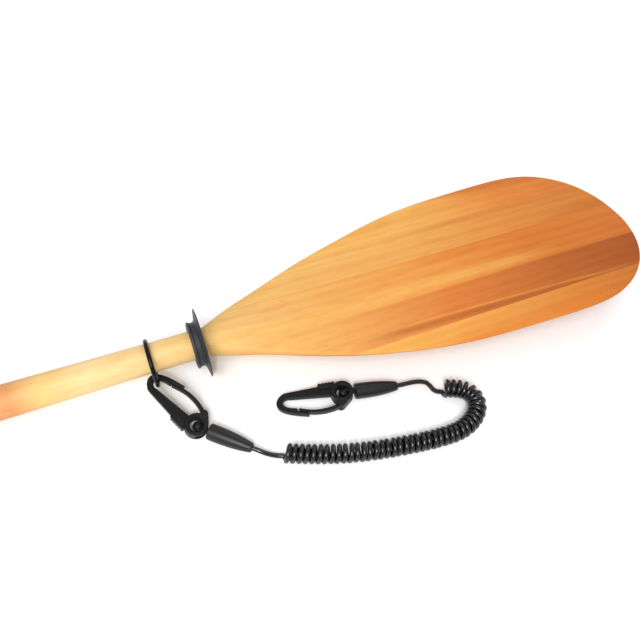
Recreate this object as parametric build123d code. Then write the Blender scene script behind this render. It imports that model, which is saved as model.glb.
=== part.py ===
from build123d import *
import os
from math import acos, atan2, cos, pi, radians, sin, sqrt, tan

# Wooden single-blade paddle with a rubber drip ring and a coiled leash. Millimetres throughout.
#
# Two frames are used. The paddle is drawn straight: x runs along the shaft from the centre of the
# drip ring, the blade is at +x, and the shaft's axis is z = 0. It is then laid down, so that it
# rests on the drip ring's flange and the underside of its grip. The leash is placed in floor
# coordinates: x and y from the point of the floor under the drip ring's centre, z up.

# ---- paddle: driving dimensions
overall_length = 1422.0
blade_reach = 524.5  # drip ring's centre to the blade's tip
blade_upper = 107.0  # half-breadth of the blade on its +y side
blade_lower = 97.0  # half-breadth on its -y side
tip_length = 116.5  # the end of the blade, over which its sides close
tip_power = 2.15  # how square the tip's corners are
tip_offset = -5.0  # y of the point of the tip
blade_centre_half = 4.6  # half-thickness of the blade on its centreline
tip_centre_half = 3.0
blade_edge_half = 2.2  # half-thickness where the rounded edge begins

shaft_radius = 16.0
throat_radius = 14.5  # the cylindrical seat of the drip ring
seat_start = -28.0  # x at each end of that seat
seat_end = 8.0
taper_start = -200.0

seam_upper_outer = 64.0  # y of each seam between the strips of wood
seam_upper = 23.0
seam_lower = -24.0
seam_lower_outer = -66.0

grip_length = 105.0
grip_half_width = 46.0
grip_centre_half = 14.6
grip_edge_half = 13.0
grip_edge_in = 9.5
grip_core_half = 17.0  # half-breadth of the shaft's own wood in the grip

# The throat, from the seat to the blade's full breadth: share of the way along, then how far the
# upper and the lower half-breadth have come, then how much of the shaft's roundness is left at the
# centreline and at the edge.
throat = [
    (0.000, 0.000, 0.000, 1.000, 1.000),
    (0.030, 0.065, 0.061, 0.950, 0.870),
    (0.070, 0.151, 0.133, 0.820, 0.630),
    (0.120, 0.238, 0.218, 0.636, 0.420),
    (0.185, 0.346, 0.345, 0.444, 0.250),
    (0.260, 0.470, 0.491, 0.283, 0.124),
    (0.355, 0.605, 0.648, 0.172, 0.050),
    (0.480, 0.757, 0.806, 0.090, 0.012),
    (0.630, 0.903, 0.927, 0.040, 0.000),
    (0.805, 0.973, 0.982, 0.020, 0.000),
    (1.000, 1.000, 1.000, 0.000, 0.000),
]
tip_shares = (0.30, 0.52, 0.70, 0.83, 0.92, 0.97, 0.995)

# The grip: share of the way to its end, how far its breadth has come, and its thickness.
grip_stations = [
    (0.00, 0.00, 1.00),
    (0.06, 0.00, 1.00),
    (0.18, 0.07, 1.00),
    (0.32, 0.25, 1.00),
    (0.48, 0.53, 1.00),
    (0.64, 0.80, 1.00),
    (0.80, 0.97, 1.00),
    (0.89, 1.00, 0.98),
    (0.95, 0.95, 0.91),
    (0.985, 0.82, 0.78),
    (1.00, 0.66, 0.60),
]

# ---- rubber rings
running_gap = 0.05  # radial clearance of anything that turns or slides on a round seat
drip_flange_radius = 35.0
drip_hub_radius = 22.4
drip_bead_radius = 23.6
drip_hub_start = -6.5  # x of the hub's two ends
drip_hub_end = 5.5
drip_tip_half = 0.5  # half-thickness of the flange at its rim

ring_section = 4.3
ring_slack = 5.65  # how much wider the loose ring's inside is than the throat, on the radius
ring_radius = throat_radius + ring_slack + ring_section / 2  # its centreline
ring_x = -47.0
ring_clearance = 0.5  # where it hangs on the shaft, over the throat's own radius
ring_hang = ring_slack - ring_clearance  # how far the ring's centre hangs off the shaft's axis
ring_hang_angle = 34.6  # direction of that hang, degrees below level on the -y side

# ---- snap hook. Its own frame: the boss's centre is the origin, the bend lies at +x, the thumb
# pad at +y and the gate at -y.
boss_radius = 11.3
boss_half = 6.3
boss_edge = 1.0
eye_radius = 6.6  # the hole that holds the swivel's ball
eye_chamfer = 1.3
slot_half = 4.0  # half-height of the slot in the boss's wall
slot_angle = 49.0  # the slot's reach each side of the hook's own axis
hook_half = 2.9  # half-thickness of arm, bend and nose
hook_edge = 0.8
bend_reach = 66.5
knuckle = (3.0, -12.2)
knuckle_radius = 3.2
knuckle_gap = 0.3
ear_radius = 3.9
gate_half = 3.1
gate_pin_radius = 1.1
gate_gap = 0.35  # between gate and nose
thumb_start = 6.0
thumb_end = 23.0
thumb_reach = 12.4
thumb_half = 4.4
thumb_ridges = 4
ridge_depth = 0.7

# ---- swivel and sleeve. Their own frame: the boss's centre is the origin and the cord lies at +x.
ball_radius = 4.9
ball_offset = 1.4
neck_radius = 1.7
collar_radius = 4.2
collar_length = 2.2
collar_gap = 0.15
sleeve_gap = 2.2  # the neck that shows between boss and sleeve
sleeve_length = 44.5
sleeve_radius = 8.0
sleeve_mouth_radius = 4.7  # at the cord's end
sleeve_wall = 5.0
sleeve_end_wall = 2.0
ferrule_radius = 3.9
ferrule_length = 14.0

# ---- leash on the floor
cord_diameter = 4.9
cord_grip = 5.5  # length of cord held inside each sleeve
cord_lead_out = 4.5  # straight length outside it
bend_offset_a = (-5.37, 7.1, 1.28)  # from the lowest point of the loose ring to hook a's bend
bend_seat = 3.05  # from that point to the bend's outer face
hook_dir_a = (-28.4, 55.6)  # plan direction of hook a, from its boss to its bend
sleeve_dir_a = (0.738, -0.674)
sleeve_tilt_a = 0.4  # degrees that the sleeve slopes down to the cord
boss_b = (121.2, -86.0)  # x and y of hook b's boss
sleeve_dir_b = (0.981, -0.196)
bend_height_b = 3.7
coil_diameter = 19.5
cord_rest = cord_diameter / 2  # height of the cord's centre where it lies on the floor
coil_route = [
    (46.0, -126.0),
    (75.0, -138.3),
    (113.0, -150.0),
    (157.0, -158.5),
    (196.0, -163.5),
    (221.0, -163.0),
    (241.0, -153.0),
    (249.0, -137.5),
    (240.5, -122.5),
    (222.0, -117.0),
]
lead_a_route = [(30.8, -119.4, 5.0)]
lead_b_route = [(208.5, -101.5, 4.5), (196.0, -98.9, 7.3)]
coil_run_a = 8.5  # length of each lead that runs straight out of the coil's end
coil_run_b = 9.9


def mix(low, high, share):
    return low + (high - low) * share


# ---- wood
def section(x, upper, lower, centre_half, edge_half, edge_in):
    """A closed section across the paddle: two shallow faces and two rounded edges."""
    right, left, middle = upper - edge_in, edge_in - lower, (upper - lower) / 2
    return Face(
        Wire(
            [
                ThreePointArc((x, left, edge_half), (x, middle, centre_half), (x, right, edge_half)),
                ThreePointArc((x, right, edge_half), (x, upper, 0), (x, right, -edge_half)),
                ThreePointArc((x, right, -edge_half), (x, middle, -centre_half), (x, left, -edge_half)),
                ThreePointArc((x, left, -edge_half), (x, -lower, 0), (x, left, edge_half)),
            ]
        )
    )


def blade_blank():
    """Throat and blade as one smooth body, before it is divided into its strips."""
    round_edge = throat_radius / sqrt(2)
    tip_start = blade_reach - tip_length
    sections = []
    for along, upper, lower, centre, edge in throat:
        edge_half = mix(blade_edge_half, round_edge, edge)
        sections.append(
            section(
                mix(seat_end, tip_start, along),
                mix(throat_radius, blade_upper, upper),
                mix(throat_radius, blade_lower, lower),
                mix(blade_centre_half, throat_radius, centre),
                edge_half,
                edge_half * (1 - (2 - sqrt(2)) * edge**1.7),
            )
        )
    for share in tip_shares:
        breadth = (1 - share**tip_power) ** (1 / tip_power)
        sections.append(
            section(
                tip_start + tip_length * share,
                tip_offset + (blade_upper - tip_offset) * breadth,
                -tip_offset + (blade_lower + tip_offset) * breadth,
                mix(blade_centre_half, tip_centre_half, share),
                blade_edge_half,
                blade_edge_half,
            )
        )
    return loft(sections)


def grip_blank():
    """The palm grip as one smooth body, from the round shaft to its end."""
    round_edge = shaft_radius / sqrt(2)
    inner = blade_reach - overall_length + grip_length
    sections = []
    for along, breadth, thick in grip_stations:
        share = min(1.0, max(0.0, along - grip_stations[1][0]) / grip_stations[4][0])
        half_width = mix(shaft_radius, grip_half_width, breadth)
        sections.append(
            section(
                inner - grip_length * along,
                half_width,
                half_width,
                mix(shaft_radius, grip_centre_half, share) * thick,
                mix(round_edge, grip_edge_half, share) * thick,
                mix(shaft_radius - round_edge, grip_edge_in, share),
            )
        )
    return loft(sections)


def strip(blank, low, high):
    """The part of a body between two planes y = low and y = high."""
    box = blank.bounding_box()
    size = Vector(box.size.X + 2, high - low, box.size.Z + 2)
    centre = Vector(box.center().X, (low + high) / 2, box.center().Z)
    return blank & Pos(*centre) * Box(*size)


def round_shaft():
    inner = blade_reach - overall_length + grip_length
    profile = Polyline(
        (inner, 0),
        (inner, shaft_radius),
        (taper_start, shaft_radius),
        (seat_start, throat_radius),
        (seat_end, throat_radius),
        (seat_end, 0),
        close=True,
    )
    return revolve(make_face(profile), Axis.X)


def paddle_wood():
    """Every wooden strip, in the straight frame."""
    blade, grip = blade_blank(), grip_blank()
    beyond = 1.0 + max(blade_upper, blade_lower)
    core = strip(blade, seam_lower, seam_upper) + round_shaft()
    core += strip(grip, -grip_core_half, grip_core_half)
    return {
        "shaft": core,
        "upper_inner_plank": strip(blade, seam_upper, seam_upper_outer),
        "upper_outer_plank": strip(blade, seam_upper_outer, beyond),
        "lower_inner_plank": strip(blade, seam_lower_outer, seam_lower),
        "lower_outer_plank": strip(blade, -beyond, seam_lower_outer),
        "grip_cheek_left": strip(grip, grip_core_half, beyond),
        "grip_cheek_right": strip(grip, -beyond, -grip_core_half),
    }


# ---- rubber
def drip_ring():
    """A cup-shaped collar: a short hub with a bead at one end and a thin flange at the other."""
    bore = throat_radius + running_gap
    rim_x = drip_hub_end - 1.0
    outline = Polyline(
        (drip_hub_start, bore),
        (drip_hub_start, drip_hub_radius - 0.8),
        (drip_hub_start + 0.8, drip_bead_radius),
        (drip_hub_start + 2.4, drip_bead_radius),
        (drip_hub_start + 3.4, drip_hub_radius),
        (drip_hub_end - 5.0, drip_hub_radius - 0.2),
        (drip_hub_end - 3.4, drip_hub_radius + 1.8),
        (rim_x - drip_tip_half, drip_flange_radius - drip_tip_half),
        (rim_x, drip_flange_radius),
        (rim_x + drip_tip_half, drip_flange_radius - drip_tip_half),
        (drip_hub_end, drip_hub_radius),
        (drip_hub_end, bore),
        close=True,
    )
    return revolve(make_face(outline), Axis.X)


def shaft_ring():
    angle = radians(ring_hang_angle)
    centre = (ring_x, -ring_hang * cos(angle), -ring_hang * sin(angle))
    return Pos(*centre) * Rot(0, 90, 0) * Torus(ring_radius, ring_section / 2)


# ---- snap hook
gate_line = [  # centreline of the gate and its half-thickness there
    (5.0, -13.2, 2.0),
    (13.0, -15.3, 1.75),
    (23.0, -16.1, 1.6),
    (32.0, -15.2, 1.5),
    (39.0, -13.3, 1.4),
    (45.4, -11.0, 1.3),
]


def hook_arm():
    """Arm, bend and nose as one flat strip with eased edges."""
    nose_inner = [(x, y - half - gate_gap) for x, y, half in gate_line[-2:]]
    nose_end = 36.4
    outline = [
        Line((0, 10.2), (24, 10.2)),
        Line((24, 10.2), (56, 8.9)),
        Spline(
            (56, 8.9),
            (63.6, 4.8),
            (bend_reach, -1.5),
            (63.8, -7.6),
            (57.5, -11.9),
            (47, -15.8),
            (nose_end, -18.6),
        ),
        Line((nose_end, -18.6), (nose_end, nose_inner[0][1] - 0.9)),
        Spline((nose_end, nose_inner[0][1] - 0.9), nose_inner[0], (46.3, nose_inner[1][1] + 0.35)),
        Line((46.3, nose_inner[1][1] + 0.35), (46.8, -9.5)),
        Spline((46.8, -9.5), (54.0, -7.6), (59.0, -4.6), (60.2, -0.9), (57.6, 1.9), (52.5, 2.4)),
        Line((52.5, 2.4), (10, -1.6)),
        Line((10, -1.6), (0, -5)),
        Line((0, -5), (0, 10.2)),
    ]
    arm = extrude(Face(Wire(outline)), hook_half, both=True)
    flat = arm.edges().filter_by(lambda e: abs(abs(e.center().Z) - hook_half) < 0.01)
    return fillet(flat, hook_edge)


def thumb_pad():
    """The raised pad on the arm's outer side, with cross ridges along its top edge."""
    length = thumb_end - thumb_start
    height = thumb_reach - 6.0
    pad = Pos((thumb_start + thumb_end) / 2, 6.0 + height / 2, 0) * Box(length, height, 2 * thumb_half)
    pad = chamfer(pad.edges().filter_by(Axis.Z).sort_by(Axis.Y)[-2:], 0.8)
    pitch = length / (thumb_ridges + 1)
    for i in range(thumb_ridges):
        x = thumb_start + pitch * (i + 1)
        pad -= Pos(x, thumb_reach, 0) * Cylinder(ridge_depth, 4 * thumb_half)
    return pad


def ear_web():
    """The flat flank that joins the ears to the boss, along the line that touches both."""
    centre = Vector(*knuckle)
    lean = acos((boss_radius - ear_radius) / centre.length)
    angle = atan2(centre.Y, centre.X) - lean
    out = Vector(cos(angle), sin(angle))
    flank = [out * boss_radius, centre + out * ear_radius]
    web = extrude(make_face(Polyline((0, 0), *flank, centre, close=True)), boss_half, both=True)
    middle = (flank[0] + flank[1]) / 2
    rims = web.edges().filter_by(lambda e: abs(e.center().X - middle.X) + abs(e.center().Y - middle.Y) < 0.1)
    return chamfer(rims, 0.6 * boss_edge)


def boss():
    """The round boss with its eye, its slot for the swivel's neck and the ears of the gate."""
    disc = Cylinder(boss_radius, 2 * boss_half)
    disc = fillet(disc.edges().filter_by(GeomType.CIRCLE), boss_edge)
    ears = Pos(*knuckle) * Cylinder(ear_radius, 2 * boss_half)
    ears = fillet(ears.edges().filter_by(GeomType.CIRCLE), boss_edge)
    return disc + ears + ear_web()


def hook_body():
    body = boss() + hook_arm() + thumb_pad()
    eye = Cylinder(eye_radius, 4 * boss_half)
    for side in (1, -1):
        mouth = Cone(eye_radius, eye_radius + 2 * eye_chamfer, 2 * eye_chamfer)
        place = Pos(0, 0, side * boss_half) * (Rot(180, 0, 0) if side < 0 else Rot(0, 0, 0))
        eye += place * mouth
    reach = 2 * boss_radius
    wedge = Polyline(
        (0, 0),
        (-reach, reach * tan(radians(slot_angle))),
        (-reach, -reach * tan(radians(slot_angle))),
        close=True,
    )
    slot = extrude(make_face(wedge), slot_half, both=True)
    seat = Pos(*knuckle) * Cylinder(knuckle_radius + knuckle_gap, 2 * (gate_half + knuckle_gap))
    mouth_width = 2 * ear_radius + 4
    mouth_of_seat = Pos(knuckle[0] + mouth_width / 2 + 1, knuckle[1] - ear_radius + 1.6, 0) * Box(
        mouth_width, 2 * ear_radius, 2 * (gate_half + knuckle_gap)
    )
    pin_hole = Pos(*knuckle) * Cylinder(gate_pin_radius, 4 * boss_half)
    return body - eye - slot - seat - mouth_of_seat - pin_hole


def hook_gate():
    """The bowed gate: a knuckle on its pin, and a strip that closes against the nose."""
    outer = [(x, y - half) for x, y, half in gate_line]
    inner = [(x, y + half) for x, y, half in reversed(gate_line)]
    outline = Wire([Spline(outer), Line(outer[-1], inner[0]), Spline(inner), Line(inner[-1], outer[0])])
    bow = extrude(Face(outline), gate_half, both=True)
    hub = Pos(*knuckle) * Cylinder(knuckle_radius, 2 * gate_half)
    hole = Pos(*knuckle) * Cylinder(gate_pin_radius + running_gap, 4 * gate_half)
    return bow + hub - hole


def gate_pin():
    return Pos(*knuckle) * Cylinder(gate_pin_radius, 2 * boss_half)


# ---- swivel, sleeve and ferrule
sleeve_start = boss_radius + sleeve_gap
sleeve_end = sleeve_start + sleeve_length


def along_x(profile):
    """A body of revolution about x from (x, r) points, closed on the axis."""
    points = [(profile[0][0], 0), *profile, (profile[-1][0], 0)]
    return revolve(make_face(Polyline(*points, close=True)), Axis.X)


def swivel_pin():
    """Ball in the hook's eye, neck through its wall, and a collar held inside the sleeve."""
    collar_start = sleeve_start + sleeve_wall + collar_gap
    neck = along_x([(ball_offset, neck_radius), (collar_start, neck_radius)])
    collar = along_x([(collar_start, collar_radius), (collar_start + collar_length, collar_radius)])
    return Pos(ball_offset, 0, 0) * Sphere(ball_radius) + neck + collar


def sleeve():
    """The moulded sleeve, hollow for the swivel's collar and the ferrule."""
    s, e = sleeve_start, sleeve_end
    outline = [
        Line((s, 0), (s, sleeve_radius - 0.7)),
        Line((s, sleeve_radius - 0.7), (s + 0.7, sleeve_radius)),
        Spline(
            (s + 0.7, sleeve_radius),
            (s + 0.45 * sleeve_length, sleeve_radius - 0.25),
            (s + 0.78 * sleeve_length, mix(sleeve_mouth_radius, sleeve_radius, 0.48)),
            (e - 1.0, sleeve_mouth_radius),
        ),
        Line((e - 1.0, sleeve_mouth_radius), (e, sleeve_mouth_radius - 1.0)),
        Line((e, sleeve_mouth_radius - 1.0), (e, 0)),
        Line((e, 0), (s, 0)),
    ]
    shell = revolve(Face(Wire(outline)), Axis.X)
    neck_bore = along_x([(s - 1, neck_radius + 0.1), (s + sleeve_wall, neck_radius + 0.1)])
    pocket_end = s + sleeve_wall + collar_length + 2 * collar_gap
    pocket = along_x([(s + sleeve_wall, collar_radius + 0.1), (pocket_end, collar_radius + 0.1)])
    hollow = along_x([(pocket_end, ferrule_radius), (e - sleeve_end_wall, ferrule_radius)])
    cord_bore = along_x([(e - sleeve_end_wall, cord_rest + running_gap), (e + 1, cord_rest + running_gap)])
    return shell - neck_bore - pocket - hollow - cord_bore


def ferrule():
    """The crimped cup on the cord's end, seated against the sleeve's end wall."""
    end = sleeve_end - sleeve_end_wall
    cup = along_x([(end - ferrule_length, ferrule_radius), (end, ferrule_radius)])
    bore = along_x([(sleeve_end - cord_grip, cord_rest + running_gap), (end + 1, cord_rest + running_gap)])
    return cup - bore


# ---- laying the paddle down
def lowest(solid, tilt):
    return (Rot(0, -tilt, 0) * solid).bounding_box().min.Z


def resting_tilt(front, back):
    """The tilt at which two bodies have their lowest points at one height, by halving."""
    low, high = 0.0, 10.0
    for _ in range(24):
        tilt = (low + high) / 2
        if lowest(back, tilt) > lowest(front, tilt):
            low = tilt
        else:
            high = tilt
    return (low + high) / 2


straight = paddle_wood()
straight["drip_ring"] = drip_ring()
straight["shaft_ring"] = shaft_ring()
grip_end = grip_blank()
tilt = resting_tilt(straight["drip_ring"], grip_end)
axis_height = -lowest(straight["drip_ring"], tilt)
laid = Pos(0, 0, axis_height) * Rot(0, -tilt, 0)


# ---- where the leash's parts lie
def unit(vector):
    return Vector(*vector).normalized()


def hook_plane(origin, towards, flipped):
    """A hook's own frame, level across its length. A flipped hook lies on its other face."""
    x_dir = (Vector(*towards) - Vector(*origin)).normalized()
    level = Vector(0, 0, 1).cross(x_dir).normalized()
    up = x_dir.cross(level)
    return Plane(origin=origin, x_dir=x_dir, z_dir=-up if flipped else up)


def sleeve_frame(origin, plan_direction, tilt):
    x, y = unit((*plan_direction, 0)).X, unit((*plan_direction, 0)).Y
    slope = radians(tilt)
    x_dir = Vector(x * cos(slope), y * cos(slope), -sin(slope))
    level = Vector(0, 0, 1).cross(x_dir).normalized()
    return Plane(origin=origin, x_dir=x_dir, z_dir=x_dir.cross(level))


sleeve_lift = sleeve_radius + 0.2  # the sleeve's axis above the floor at its hook end
ring_low = ring_hang + ring_radius
ring_angle = radians(ring_hang_angle)
ring_foot = (laid * Pos(ring_x, -ring_low * cos(ring_angle), -ring_low * sin(ring_angle))).position
bend_a = ring_foot + Vector(*bend_offset_a)
boss_height_a = sleeve_lift + sleeve_start * sin(radians(sleeve_tilt_a))
plan_reach = sqrt((bend_reach - bend_seat) ** 2 - (bend_a.Z - boss_height_a) ** 2)
boss_a = bend_a - unit((*hook_dir_a, 0)) * plan_reach
centre_a = (boss_a.X, boss_a.Y, boss_height_a)
centre_b = (*boss_b, sleeve_lift)
bend_b = (
    boss_b[0] - unit((*sleeve_dir_b, 0)).X * bend_reach,
    boss_b[1] - unit((*sleeve_dir_b, 0)).Y * bend_reach,
    bend_height_b,
)
frame_hook_a = hook_plane(centre_a, bend_a, False)
frame_hook_b = hook_plane(centre_b, bend_b, True)
frame_sleeve_a = sleeve_frame(centre_a, sleeve_dir_a, sleeve_tilt_a)
frame_sleeve_b = sleeve_frame(centre_b, sleeve_dir_b, 0.0)


def cord_end(frame):
    """The two points that fix the cord in a sleeve: its end in the ferrule, and one outside."""
    return [
        frame.from_local_coords(Vector(sleeve_end - cord_grip, 0, 0)),
        frame.from_local_coords(Vector(sleeve_end + cord_lead_out, 0, 0)),
    ]


def corner_radii(points):
    """For each corner, 0.45 of its shorter run over the tangent of half its turn."""
    radii = []
    for before, here, after in zip(points, points[1:], points[2:]):
        turn = (here - before).get_angle(after - here)
        run = min((here - before).length, (after - here).length)
        radii.append(0.45 * run / tan(radians(turn / 2)))
    return radii


def tube(name, points, diameter):
    """A round tube along straight runs joined by tangent arcs."""
    points = [Vector(*p) for p in points]
    radii = corner_radii(points)
    path = FilletPolyline(*points, radius=radii)
    start = Plane(origin=path @ 0, z_dir=path % 0)
    solid = sweep(start * Circle(diameter / 2), path=path)
    expected = pi * diameter**2 / 4 * path.length
    print(
        f"{name}: length {path.length:.1f}, radii {[round(r, 1) for r in radii]}, "
        f"volume/expected {solid.volume / expected:.4f}"
    )
    return solid


def leash_parts():
    """Every part of the leash, in floor coordinates."""
    parts = {}
    for end, hook_frame, swivel_frame in (
        ("a", frame_hook_a, frame_sleeve_a),
        ("b", frame_hook_b, frame_sleeve_b),
    ):
        parts[f"hook_{end}_body"] = hook_frame.location * hook_body()
        parts[f"hook_{end}_gate"] = hook_frame.location * hook_gate()
        parts[f"hook_{end}_gate_pin"] = hook_frame.location * gate_pin()
        parts[f"swivel_{end}_pin"] = swivel_frame.location * swivel_pin()
        parts[f"sleeve_{end}"] = swivel_frame.location * sleeve()
        parts[f"ferrule_{end}"] = swivel_frame.location * ferrule()
    coil = [Vector(x, y, coil_diameter / 2) for x, y in coil_route]
    drop = Vector(0, 0, cord_rest - coil_diameter / 2)
    start, end = coil[0] + drop, coil[-1] + drop
    before = start - (coil[1] - coil[0]).normalized() * coil_run_a
    after = end + (coil[-1] - coil[-2]).normalized() * coil_run_b
    lead_a = cord_end(frame_sleeve_a) + lead_a_route + [before, start]
    lead_b = [end, after] + lead_b_route + cord_end(frame_sleeve_b)[::-1]
    parts["leash_lead_a"] = tube("lead a", lead_a, cord_diameter)
    parts["leash_lead_b"] = tube("lead b", lead_b, cord_diameter)
    parts["leash_coil"] = tube("coil", coil, coil_diameter)
    return parts


# ---- the whole
nodes = {name: laid * solid for name, solid in straight.items()}

boxes = [solid.bounding_box() for solid in nodes.values()]
middle_x = (min(b.min.X for b in boxes) + max(b.max.X for b in boxes)) / 2
middle_y = (min(b.min.Y for b in boxes) + max(b.max.Y for b in boxes)) / 2
origin = Pos(-middle_x, -middle_y, 0)
nodes.update(leash_parts())
nodes = {name: origin * solid for name, solid in nodes.items()}

print(f"tilt {tilt:.3f}, axis height {axis_height:.3f}, origin shift {-middle_x:.3f} {-middle_y:.3f}")
os.makedirs("parts", exist_ok=True)
for name, solid in nodes.items():
    solid.label = name
    export_step(solid, f"parts/{name}.step")
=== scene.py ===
import bpy
from math import cos, pi, radians, sin
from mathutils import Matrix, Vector


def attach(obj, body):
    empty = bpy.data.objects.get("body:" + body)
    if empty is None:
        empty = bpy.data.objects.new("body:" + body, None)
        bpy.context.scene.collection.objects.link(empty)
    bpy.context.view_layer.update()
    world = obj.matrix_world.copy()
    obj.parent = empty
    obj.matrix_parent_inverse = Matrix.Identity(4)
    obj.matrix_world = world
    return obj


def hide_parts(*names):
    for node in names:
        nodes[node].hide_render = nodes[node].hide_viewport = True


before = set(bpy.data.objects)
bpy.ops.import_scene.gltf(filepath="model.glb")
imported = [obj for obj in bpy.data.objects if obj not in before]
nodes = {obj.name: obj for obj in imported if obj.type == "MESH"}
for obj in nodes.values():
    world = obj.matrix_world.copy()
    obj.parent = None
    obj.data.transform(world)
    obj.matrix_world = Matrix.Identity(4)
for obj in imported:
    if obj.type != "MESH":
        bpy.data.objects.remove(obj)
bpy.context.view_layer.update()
print("frame loaded,", len(nodes), "nodes")

cameraView = {
    "location": (0.1485, -0.3125, 0.5232),
    "turn": (34.34, -4.72, -22.07),  # degrees
    "lens": 32.34,
    "sensorWidth": 36,
}
cameraTurn = [radians(angle) for angle in cameraView["turn"]]
bpy.ops.object.camera_add(location=cameraView["location"], rotation=cameraTurn)
camera = bpy.context.object
camera.data.lens = cameraView["lens"]
camera.data.sensor_width = cameraView["sensorWidth"]
bpy.context.scene.camera = camera
bpy.context.scene.view_settings.view_transform = "Standard"
print("camera done")


def newMaterial(name, values):
    material = bpy.data.materials.new(name)
    material.use_nodes = True
    shader = material.node_tree.nodes["Principled BSDF"]
    for socket, value in values.items():
        shader.inputs[socket].default_value = value
    return material, material.node_tree, shader


# an input is either a plain value or another node's output
def addNode(tree, kind, inputs=None, settings=None):
    node = tree.nodes.new(kind)
    for key, value in (settings or {}).items():
        setattr(node, key, value)
    for key, value in (inputs or {}).items():
        if isinstance(value, bpy.types.NodeSocket):
            tree.links.new(value, node.inputs[key])
        else:
            node.inputs[key].default_value = value
    return node


def mathNode(tree, operation, *values):
    inputs = dict(enumerate(values))
    return addNode(tree, "ShaderNodeMath", inputs, {"operation": operation}).outputs[0]


def mixColour(tree, factor, first, second, blend="MIX"):
    inputs = {0: factor, 6: first, 7: second}  # the Mix node's sockets for colours
    settings = {"data_type": "RGBA", "blend_type": blend}
    return addNode(tree, "ShaderNodeMix", inputs, settings).outputs[2]


def remap(tree, value, low, high, toLow=0.0, toHigh=1.0):
    inputs = {
        "Value": value,
        "From Min": low,
        "From Max": high,
        "To Min": toLow,
        "To Max": toHigh,
    }
    return addNode(tree, "ShaderNodeMapRange", inputs).outputs[0]


def addBump(tree, shader, height, strength, distance):
    inputs = {"Height": height, "Strength": strength, "Distance": distance}
    bump = addNode(tree, "ShaderNodeBump", inputs)
    tree.links.new(bump.outputs[0], shader.inputs["Normal"])


woodLook = {
    "restAngle": 1.325,  # degrees that the shaft rises towards the blade
    "roughness": 0.5,
    "gloss": 0.16,
    "varnish": 0.05,
    "varnishRoughness": 0.2,
    # x of each colour change, from the grip to the blade's tip
    "places": (-0.12, 0.016, 0.042, 0.085, 0.19, 0.32, 0.45, 0.58, 0.71),
    "grainShift": 0.37,  # from one strip to the next, so that no two are alike
    # scale along and across the grain, then the texture's own values
    "patterns": {
        "fibre": (6, 420, {"Detail": 4.0, "Roughness": 0.6}),
        "figure": (2.2, 55, {"Detail": 3.0, "Distortion": 0.4}),
        "cloud": (9, 24, {"Detail": 2.0}),
        "fleck": (48, 190, {"Detail": 3.0}),
        "growth": (0.5, 26, {"Distortion": 7.0, "Detail": 2.0, "Detail Scale": 0.6}),
    },
    # where each pattern starts to tint the wood, where it is full, its strength and its tint
    "tints": {
        "cloud": (0.45, 0.75, 0.35, (0.98, 0.80, 0.66, 1)),
        "figure": (0.38, 0.72, 0.42, (0.86, 0.64, 0.46, 1)),
        "growth": (0.2, 1.0, 0.20, (0.86, 0.64, 0.46, 1)),
        "fibre": (0.42, 0.75, 0.26, (0.86, 0.64, 0.46, 1)),
        "fleck": (0.48, 0.66, 0.22, (0.86, 0.64, 0.46, 1)),
    },
    "growthBump": 0.4,  # beside the fibre's
    "bumpStrength": 0.12,
    "bumpDepth": 0.0004,
}
streakLook = {
    "waver": 0.3,  # share of the streak's width
    "core": 0.25,  # share of the width that has the full tone
    "fadeOutside": 0.02,  # past each end
    "fadeInside": 0.05,
}
# each strip's colours up to the tip, partly the wood's own tone and partly painted shade that
# darkens the wood towards the tip, then its streaks: two ends, width, tone and strength
strips = {
    "shaft": {
        "colours": [
            (0.73, 0.47, 0.19),
            (0.66, 0.32, 0.13),
            (0.78, 0.56, 0.22),
            (0.80, 0.63, 0.33),
            (0.74, 0.515, 0.20),
            (0.715, 0.38, 0.103),
            (0.70, 0.29, 0.054),
            (0.57, 0.167, 0.018),
            (0.55, 0.163, 0.02),
        ],
        "streaks": [
            ((0.43, 0.0125), (0.71, 0.016), 0.012, (0.62, 0.19, 0.022), 0.55),
            ((0.22, -0.016), (0.56, -0.0205), 0.008, (0.79, 0.47, 0.12), 0.4),
        ],
    },
    "lower_inner_plank": {
        "colours": [
            (0.74, 0.47, 0.15),
            (0.70, 0.35, 0.098),
            (0.61, 0.19, 0.034),
            (0.443, 0.124, 0.0165),
            (0.34, 0.079, 0.009),
        ],
        "streaks": [
            ((0.36, -0.0565), (0.64, -0.0686), 0.0022, (0.72, 0.30, 0.06), 0.6),
            ((0.34, -0.0625), (0.68, -0.0730), 0.0055, (0.36, 0.095, 0.013), 0.6),
        ],
    },
    "lower_outer_plank": {
        "colours": [
            (0.73, 0.45, 0.117),
            (0.74, 0.42, 0.10),
            (0.715, 0.337, 0.069),
            (0.608, 0.21, 0.031),
            (0.476, 0.142, 0.021),
        ],
        "streaks": [((0.38, -0.097), (0.62, -0.094), 0.008, (0.65, 0.18, 0.02), 0.5)],
    },
    "upper_inner_plank": {
        "colours": [
            (0.766, 0.507, 0.167),
            (0.73, 0.418, 0.126),
            (0.71, 0.355, 0.085),
            (0.62, 0.23, 0.036),
            (0.558, 0.187, 0.019),
        ],
        "streaks": [
            ((0.62, 0.0245), (0.72, 0.026), 0.010, (0.48, 0.125, 0.015), 0.6),
            ((0.44, 0.052), (0.62, 0.060), 0.006, (0.56, 0.20, 0.03), 0.35),
        ],
    },
    "upper_outer_plank": {
        "colours": [
            (0.774, 0.515, 0.133),
            (0.766, 0.47, 0.125),
            (0.75, 0.40, 0.095),
            (0.66, 0.23, 0.034),
            (0.59, 0.18, 0.021),
        ],
        "streaks": [((0.50, 0.098), (0.66, 0.090), 0.009, (0.5, 0.13, 0.016), 0.6)],
    },
    "grip_cheek_left": {"colours": [(0.74, 0.49, 0.18)] * 2, "streaks": []},
    "grip_cheek_right": {"colours": [(0.72, 0.45, 0.15)] * 2, "streaks": []},
}
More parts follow.
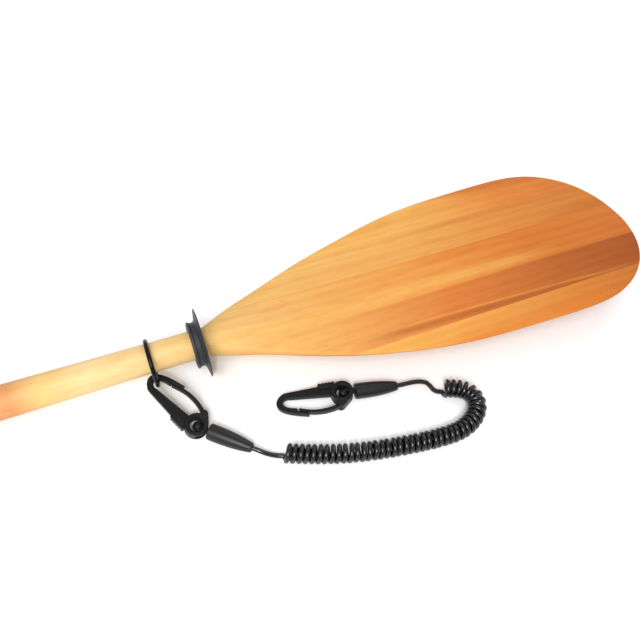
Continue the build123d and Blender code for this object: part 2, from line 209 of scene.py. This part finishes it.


# the last of the tones is at the blade's tip; the darkening towards it is partly the wood's own
# tone and partly painted shade
def stripColour(tree, x, tones):
    places = woodLook["places"]
    start, end = places[0], places[-1]
    ramp = addNode(tree, "ShaderNodeValToRGB", {0: remap(tree, x, start, end)})
    stops = ramp.color_ramp.elements
    while len(stops) < len(tones):
        stops.new(0.5)
    for stop, place, tone in zip(stops, places[-len(tones):], tones):
        stop.position = (place - start) / (end - start)
        stop.color = (*tone, 1)
    return ramp.outputs[0]


def streakAmount(tree, x, y, figure, first, last, width, strength):
    (x1, y1), (x2, y2) = first, last
    waver = streakLook["waver"] * width
    outside, inside = streakLook["fadeOutside"], streakLook["fadeInside"]
    line = remap(tree, x, x1, x2, y1, y2)
    shift = remap(tree, figure, 0.3, 0.7, -waver, waver)
    offset = mathNode(tree, "SUBTRACT", mathNode(tree, "ADD", y, shift), line)
    distance = mathNode(tree, "ABSOLUTE", offset)
    across = remap(tree, distance, width, streakLook["core"] * width)
    fadeIn = remap(tree, x, x1 - outside, x1 + inside)
    fadeOut = remap(tree, x, x2 + inside, x2 - outside)
    amount = mathNode(tree, "MULTIPLY", mathNode(tree, "MULTIPLY", across, fadeIn), fadeOut)
    return mathNode(tree, "MULTIPLY", amount, strength)


def woodPattern(tree, laid, kind):
    along, across, values = woodLook["patterns"][kind]
    mapping = {"Vector": laid, "Scale": (along, across, across)}
    stretched = addNode(tree, "ShaderNodeMapping", mapping).outputs[0]
    inputs = {"Vector": stretched, "Scale": 1.0, **values}
    if kind == "growth":
        return addNode(tree, "ShaderNodeTexWave", inputs, {"bands_direction": "Y"}).outputs[1]
    return addNode(tree, "ShaderNodeTexNoise", inputs).outputs[0]


def woodMaterial(name, strip, number):
    values = {
        "Roughness": woodLook["roughness"],
        "Specular IOR Level": woodLook["gloss"],
        "Coat Weight": woodLook["varnish"],
        "Coat Roughness": woodLook["varnishRoughness"],
    }
    material, tree, shader = newMaterial(name, values)
    mapping = {
        "Vector": addNode(tree, "ShaderNodeTexCoord").outputs["Object"],
        "Rotation": (0, radians(woodLook["restAngle"]), 0),  # the grain runs along the shaft
        "Location": (0, 0, number * woodLook["grainShift"]),
    }
    laid = addNode(tree, "ShaderNodeMapping", mapping).outputs[0]
    patterns = {kind: woodPattern(tree, laid, kind) for kind in woodLook["patterns"]}
    split = addNode(tree, "ShaderNodeSeparateXYZ", {0: laid})
    x, y = split.outputs[0], split.outputs[1]
    colour = stripColour(tree, x, strip["colours"])
    for first, last, width, tone, strength in strip["streaks"]:
        amount = streakAmount(tree, x, y, patterns["figure"], first, last, width, strength)
        colour = mixColour(tree, amount, colour, (*tone, 1))
    for kind, (low, high, strength, tint) in woodLook["tints"].items():
        amount = remap(tree, patterns[kind], low, high, 0.0, strength)
        colour = mixColour(tree, amount, colour, tint, "MULTIPLY")
    tree.links.new(colour, shader.inputs["Base Color"])
    growth = mathNode(tree, "MULTIPLY", patterns["growth"], woodLook["growthBump"])
    grain = mathNode(tree, "ADD", patterns["fibre"], growth)
    addBump(tree, shader, grain, woodLook["bumpStrength"], woodLook["bumpDepth"])
    return material


def dress(node, material):
    nodes[node].data.materials.clear()
    nodes[node].data.materials.append(material)


for number, (name, strip) in enumerate(strips.items()):
    dress(name, woodMaterial(name + "_wood", strip, number))
print("wood done")


# tone, roughness, gloss, coat, then the grain's scale and depth
blackLooks = {
    "dripRubber": ((0.024, 0.025, 0.031), 0.48, 0.45, 0.0, 700, 0.00012),
    "ringRubber": ((0.003, 0.003, 0.003), 0.13, 0.18, 0.0, 260, 0.00006),
    "hookNylon": ((0.006, 0.006, 0.0065), 0.40, 0.22, 0.0, 900, 0.00014),
    "sleeveMoulding": ((0.008, 0.008, 0.0085), 0.36, 0.36, 0.0, 1100, 0.0001),
    "cordSkin": ((0.003, 0.0035, 0.0035), 0.15, 0.5, 0.2, 300, 0.00004),
}
blackWear = {
    "coatRoughness": 0.08,
    "mottle": 60.0,  # scale of the dusty and duller patches
    "dust": 1.8,  # times the tone, and a little more
    "dustLift": 0.004,
    "dustStrength": 0.5,
    "smoother": 0.05,  # below and above the look's roughness
    "duller": 0.10,
    "bumpStrength": 0.25,
}


def blackMaterial(name):
    tone, roughness, gloss, coat, grain, depth = blackLooks[name]
    wear = blackWear
    values = {
        "Specular IOR Level": gloss,
        "Coat Weight": coat,
        "Coat Roughness": wear["coatRoughness"],
    }
    material, tree, shader = newMaterial(name, values)
    coords = addNode(tree, "ShaderNodeTexCoord").outputs["Object"]
    fineNoise = {"Vector": coords, "Scale": grain, "Detail": 3.0}
    fine = addNode(tree, "ShaderNodeTexNoise", fineNoise).outputs[0]
    broadNoise = {"Vector": coords, "Scale": wear["mottle"], "Detail": 4.0}
    broad = addNode(tree, "ShaderNodeTexNoise", broadNoise).outputs[0]
    dusty = tuple(wear["dust"] * channel + wear["dustLift"] for channel in tone)
    dustAmount = remap(tree, broad, 0.5, 0.8, 0.0, wear["dustStrength"])
    colour = mixColour(tree, dustAmount, (*tone, 1), (*dusty, 1))
    tree.links.new(colour, shader.inputs["Base Color"])
    smoothest, dullest = roughness - wear["smoother"], roughness + wear["duller"]
    rough = remap(tree, broad, 0.3, 0.75, smoothest, dullest)
    tree.links.new(rough, shader.inputs["Roughness"])
    addBump(tree, shader, fine, wear["bumpStrength"], depth)
    return material


black = {name: blackMaterial(name) for name in blackLooks}
dress("drip_ring", black["dripRubber"])
dress("shaft_ring", black["ringRubber"])
for end in "ab":
    for piece in ("body", "gate", "gate_pin"):
        dress(f"hook_{end}_{piece}", black["hookNylon"])
    dress(f"swivel_{end}_pin", black["hookNylon"])
    dress(f"sleeve_{end}", black["sleeveMoulding"])
print("rubber and mouldings done")


ferruleLook = {
    "roughness": 0.35,
    "grain": 400.0,
    "dull": (0.5, 0.5, 0.5, 1),
    "bright": (0.65, 0.65, 0.65, 1),
}
ferruleValues = {"Metallic": 1.0, "Roughness": ferruleLook["roughness"]}
metal, metalTree, metalShader = newMaterial("ferruleMetal", ferruleValues)
brushNoise = {"Scale": ferruleLook["grain"], "Detail": 2.0}
brushed = addNode(metalTree, "ShaderNodeTexNoise", brushNoise).outputs[0]
metalTone = mixColour(metalTree, brushed, ferruleLook["dull"], ferruleLook["bright"])
metalTree.links.new(metalTone, metalShader.inputs["Base Color"])
for end in "ab":
    dress(f"ferrule_{end}", metal)
print("ferrules done")


leash = {
    "diameter": 0.0049,
    "length": 2.06,
    "turns": 43,
    "coilRadius": 0.0074,  # centreline of the turns
    "coilHeight": 0.00975,  # middle of the coil above the floor
    "pointsPerTurn": 16,
    "slack": 0.012,  # the turns' radius varies by up to twice this share
    "drift": 0.0004,  # and they lean along the coil by this much
    "routeSteps": 40,
    "cordSteps": 2,
    "cordSides": 3,
    "leadIn": [
        (0.2020, -0.1115, 0.0079),
        (0.2094, -0.1182, 0.0079),
        (0.2176, -0.1244, 0.0050),
        (0.2250, -0.1277, 0.0025),
        (0.2298, -0.1297, 0.0025),
    ],
    "coilRoute": [
        (0.2328, -0.1310),
        (0.2618, -0.1433),
        (0.2998, -0.1550),
        (0.3438, -0.1635),
        (0.3828, -0.1685),
        (0.4078, -0.1680),
        (0.4278, -0.1580),
        (0.4358, -0.1425),
        (0.4273, -0.1275),
        (0.4088, -0.1220),
    ],
    "leadOut": [
        (0.4052, -0.1209, 0.0025),
        (0.4003, -0.1180, 0.0032),
        (0.3972, -0.1080, 0.0075),
        (0.3828, -0.1039, 0.0085),
        (0.3693, -0.1032, 0.0082),
        (0.3595, -0.1013, 0.0082),
    ],
}


def smoothCurve(name, points, resolution):
    data = bpy.data.curves.new(name, "CURVE")
    data.dimensions = "3D"
    data.resolution_u = resolution
    spline = data.splines.new("NURBS")
    spline.points.add(len(points) - 1)
    for point, place in zip(spline.points, points):
        point.co = (*place, 1)
    spline.order_u = 3
    spline.use_endpoint_u = True
    piece = bpy.data.objects.new(name, data)
    bpy.context.scene.collection.objects.link(piece)
    return piece


def pointsAlong(piece):
    bpy.context.view_layer.update()
    evaluated = piece.evaluated_get(bpy.context.evaluated_depsgraph_get())
    mesh = bpy.data.meshes.new_from_object(evaluated)
    places = [vertex.co.copy() for vertex in mesh.vertices]
    bpy.data.meshes.remove(mesh)
    return places


def coilPoints():
    route = [(x, y, leash["coilHeight"]) for x, y in leash["coilRoute"]]
    middle = smoothCurve("coilLine", route, leash["routeSteps"])
    line = pointsAlong(middle)
    bpy.data.objects.remove(middle)
    reach = [0.0]  # length along the middle at each of its points
    for before, here in zip(line, line[1:]):
        reach.append(reach[-1] + (here - before).length)
    up = Vector((0, 0, 1))
    count = leash["turns"] * leash["pointsPerTurn"]
    places = []
    spot = 0
    for i in range(count + 1):
        if 0 < min(i, count - i) < 2:  # the cord swings into its first turn and out of its last
            continue
        share = i / count
        target = reach[-1] * share
        while spot < len(reach) - 2 and reach[spot + 1] < target:
            spot += 1
        span = reach[spot + 1] - reach[spot]
        centre = line[spot].lerp(line[spot + 1], (target - reach[spot]) / span)
        along = (line[spot + 1] - line[spot]).normalized()
        side = up.cross(along)
        angle = 2 * pi * i / leash["pointsPerTurn"]
        swell = sin(pi * share)  # the ends are wound true
        radius = leash["coilRadius"] * (1 - leash["slack"] * (1 + sin(0.61 * i)) * swell)
        drift = leash["drift"] * sin(0.23 * i) * swell
        turn = side * radius * sin(angle) + up * radius * cos(angle)
        places.append(centre + along * drift - turn)
    return places


cordLine = leash["leadIn"] + coilPoints() + leash["leadOut"]
cord = smoothCurve("leash_cord", cordLine, leash["cordSteps"])
cord.data.bevel_depth = leash["diameter"] / 2
cord.data.bevel_resolution = leash["cordSides"]
cord.data.use_fill_caps = True
cord.data.materials.append(black["cordSkin"])
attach(cord, "leash")
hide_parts("leash_lead_a", "leash_coil", "leash_lead_b")
onCord = ["sleeve_a", "ferrule_a", "swivel_a_pin", "sleeve_b", "ferrule_b", "swivel_b_pin"]
onCord += [f"hook_{end}_{piece}" for end in "ab" for piece in ("body", "gate", "gate_pin")]
print("cord done")


studio = {
    "floorSize": 8.0,
    "floorTone": (0.965, 0.965, 0.965, 1),
    "floorMottle": (0.98, 0.98, 0.98, 1),
    "floorRoughness": 0.9,
    "floorGrain": 6.0,
    "worldTone": (1, 1, 1, 1),
    "worldStrength": 0.60,
    "lights": [  # name, place, aim, size and power
        ("keyLight", (-0.45, -0.85, 1.5), (0.1, -0.03, 0.03), 1.1, 24),
        ("fillLight", (1.3, 0.9, 1.3), (0.3, 0.0, 0.03), 1.2, 6),
        ("glintLight", (-0.05, -0.75, 1.0), (0.25, -0.12, 0.01), 0.10, 3.2),
    ],
}
bpy.ops.mesh.primitive_plane_add(size=studio["floorSize"], location=(0, 0, 0))
floor = bpy.context.object
floor.name = "floor"
floorValues = {"Roughness": studio["floorRoughness"]}
floorMaterial, floorTree, floorShader = newMaterial("floorPaper", floorValues)
paper = addNode(floorTree, "ShaderNodeTexNoise", {"Scale": studio["floorGrain"]}).outputs[0]
mottle = remap(floorTree, paper, 0.3, 0.7)
floorTone = mixColour(floorTree, mottle, studio["floorTone"], studio["floorMottle"])
floorTree.links.new(floorTone, floorShader.inputs["Base Color"])
floor.data.materials.append(floorMaterial)

for name, place, aim, size, power in studio["lights"]:
    bpy.ops.object.light_add(type="AREA", location=place)
    light = bpy.context.object
    light.name = name
    light.data.size = size
    light.data.energy = power
    light.rotation_euler = (Vector(aim) - Vector(place)).to_track_quat("-Z", "Y").to_euler()
world = bpy.data.worlds.new("studioAir")
world.use_nodes = True
background = world.node_tree.nodes["Background"]
background.inputs["Color"].default_value = studio["worldTone"]
background.inputs["Strength"].default_value = studio["worldStrength"]
bpy.context.scene.world = world
print("studio done")
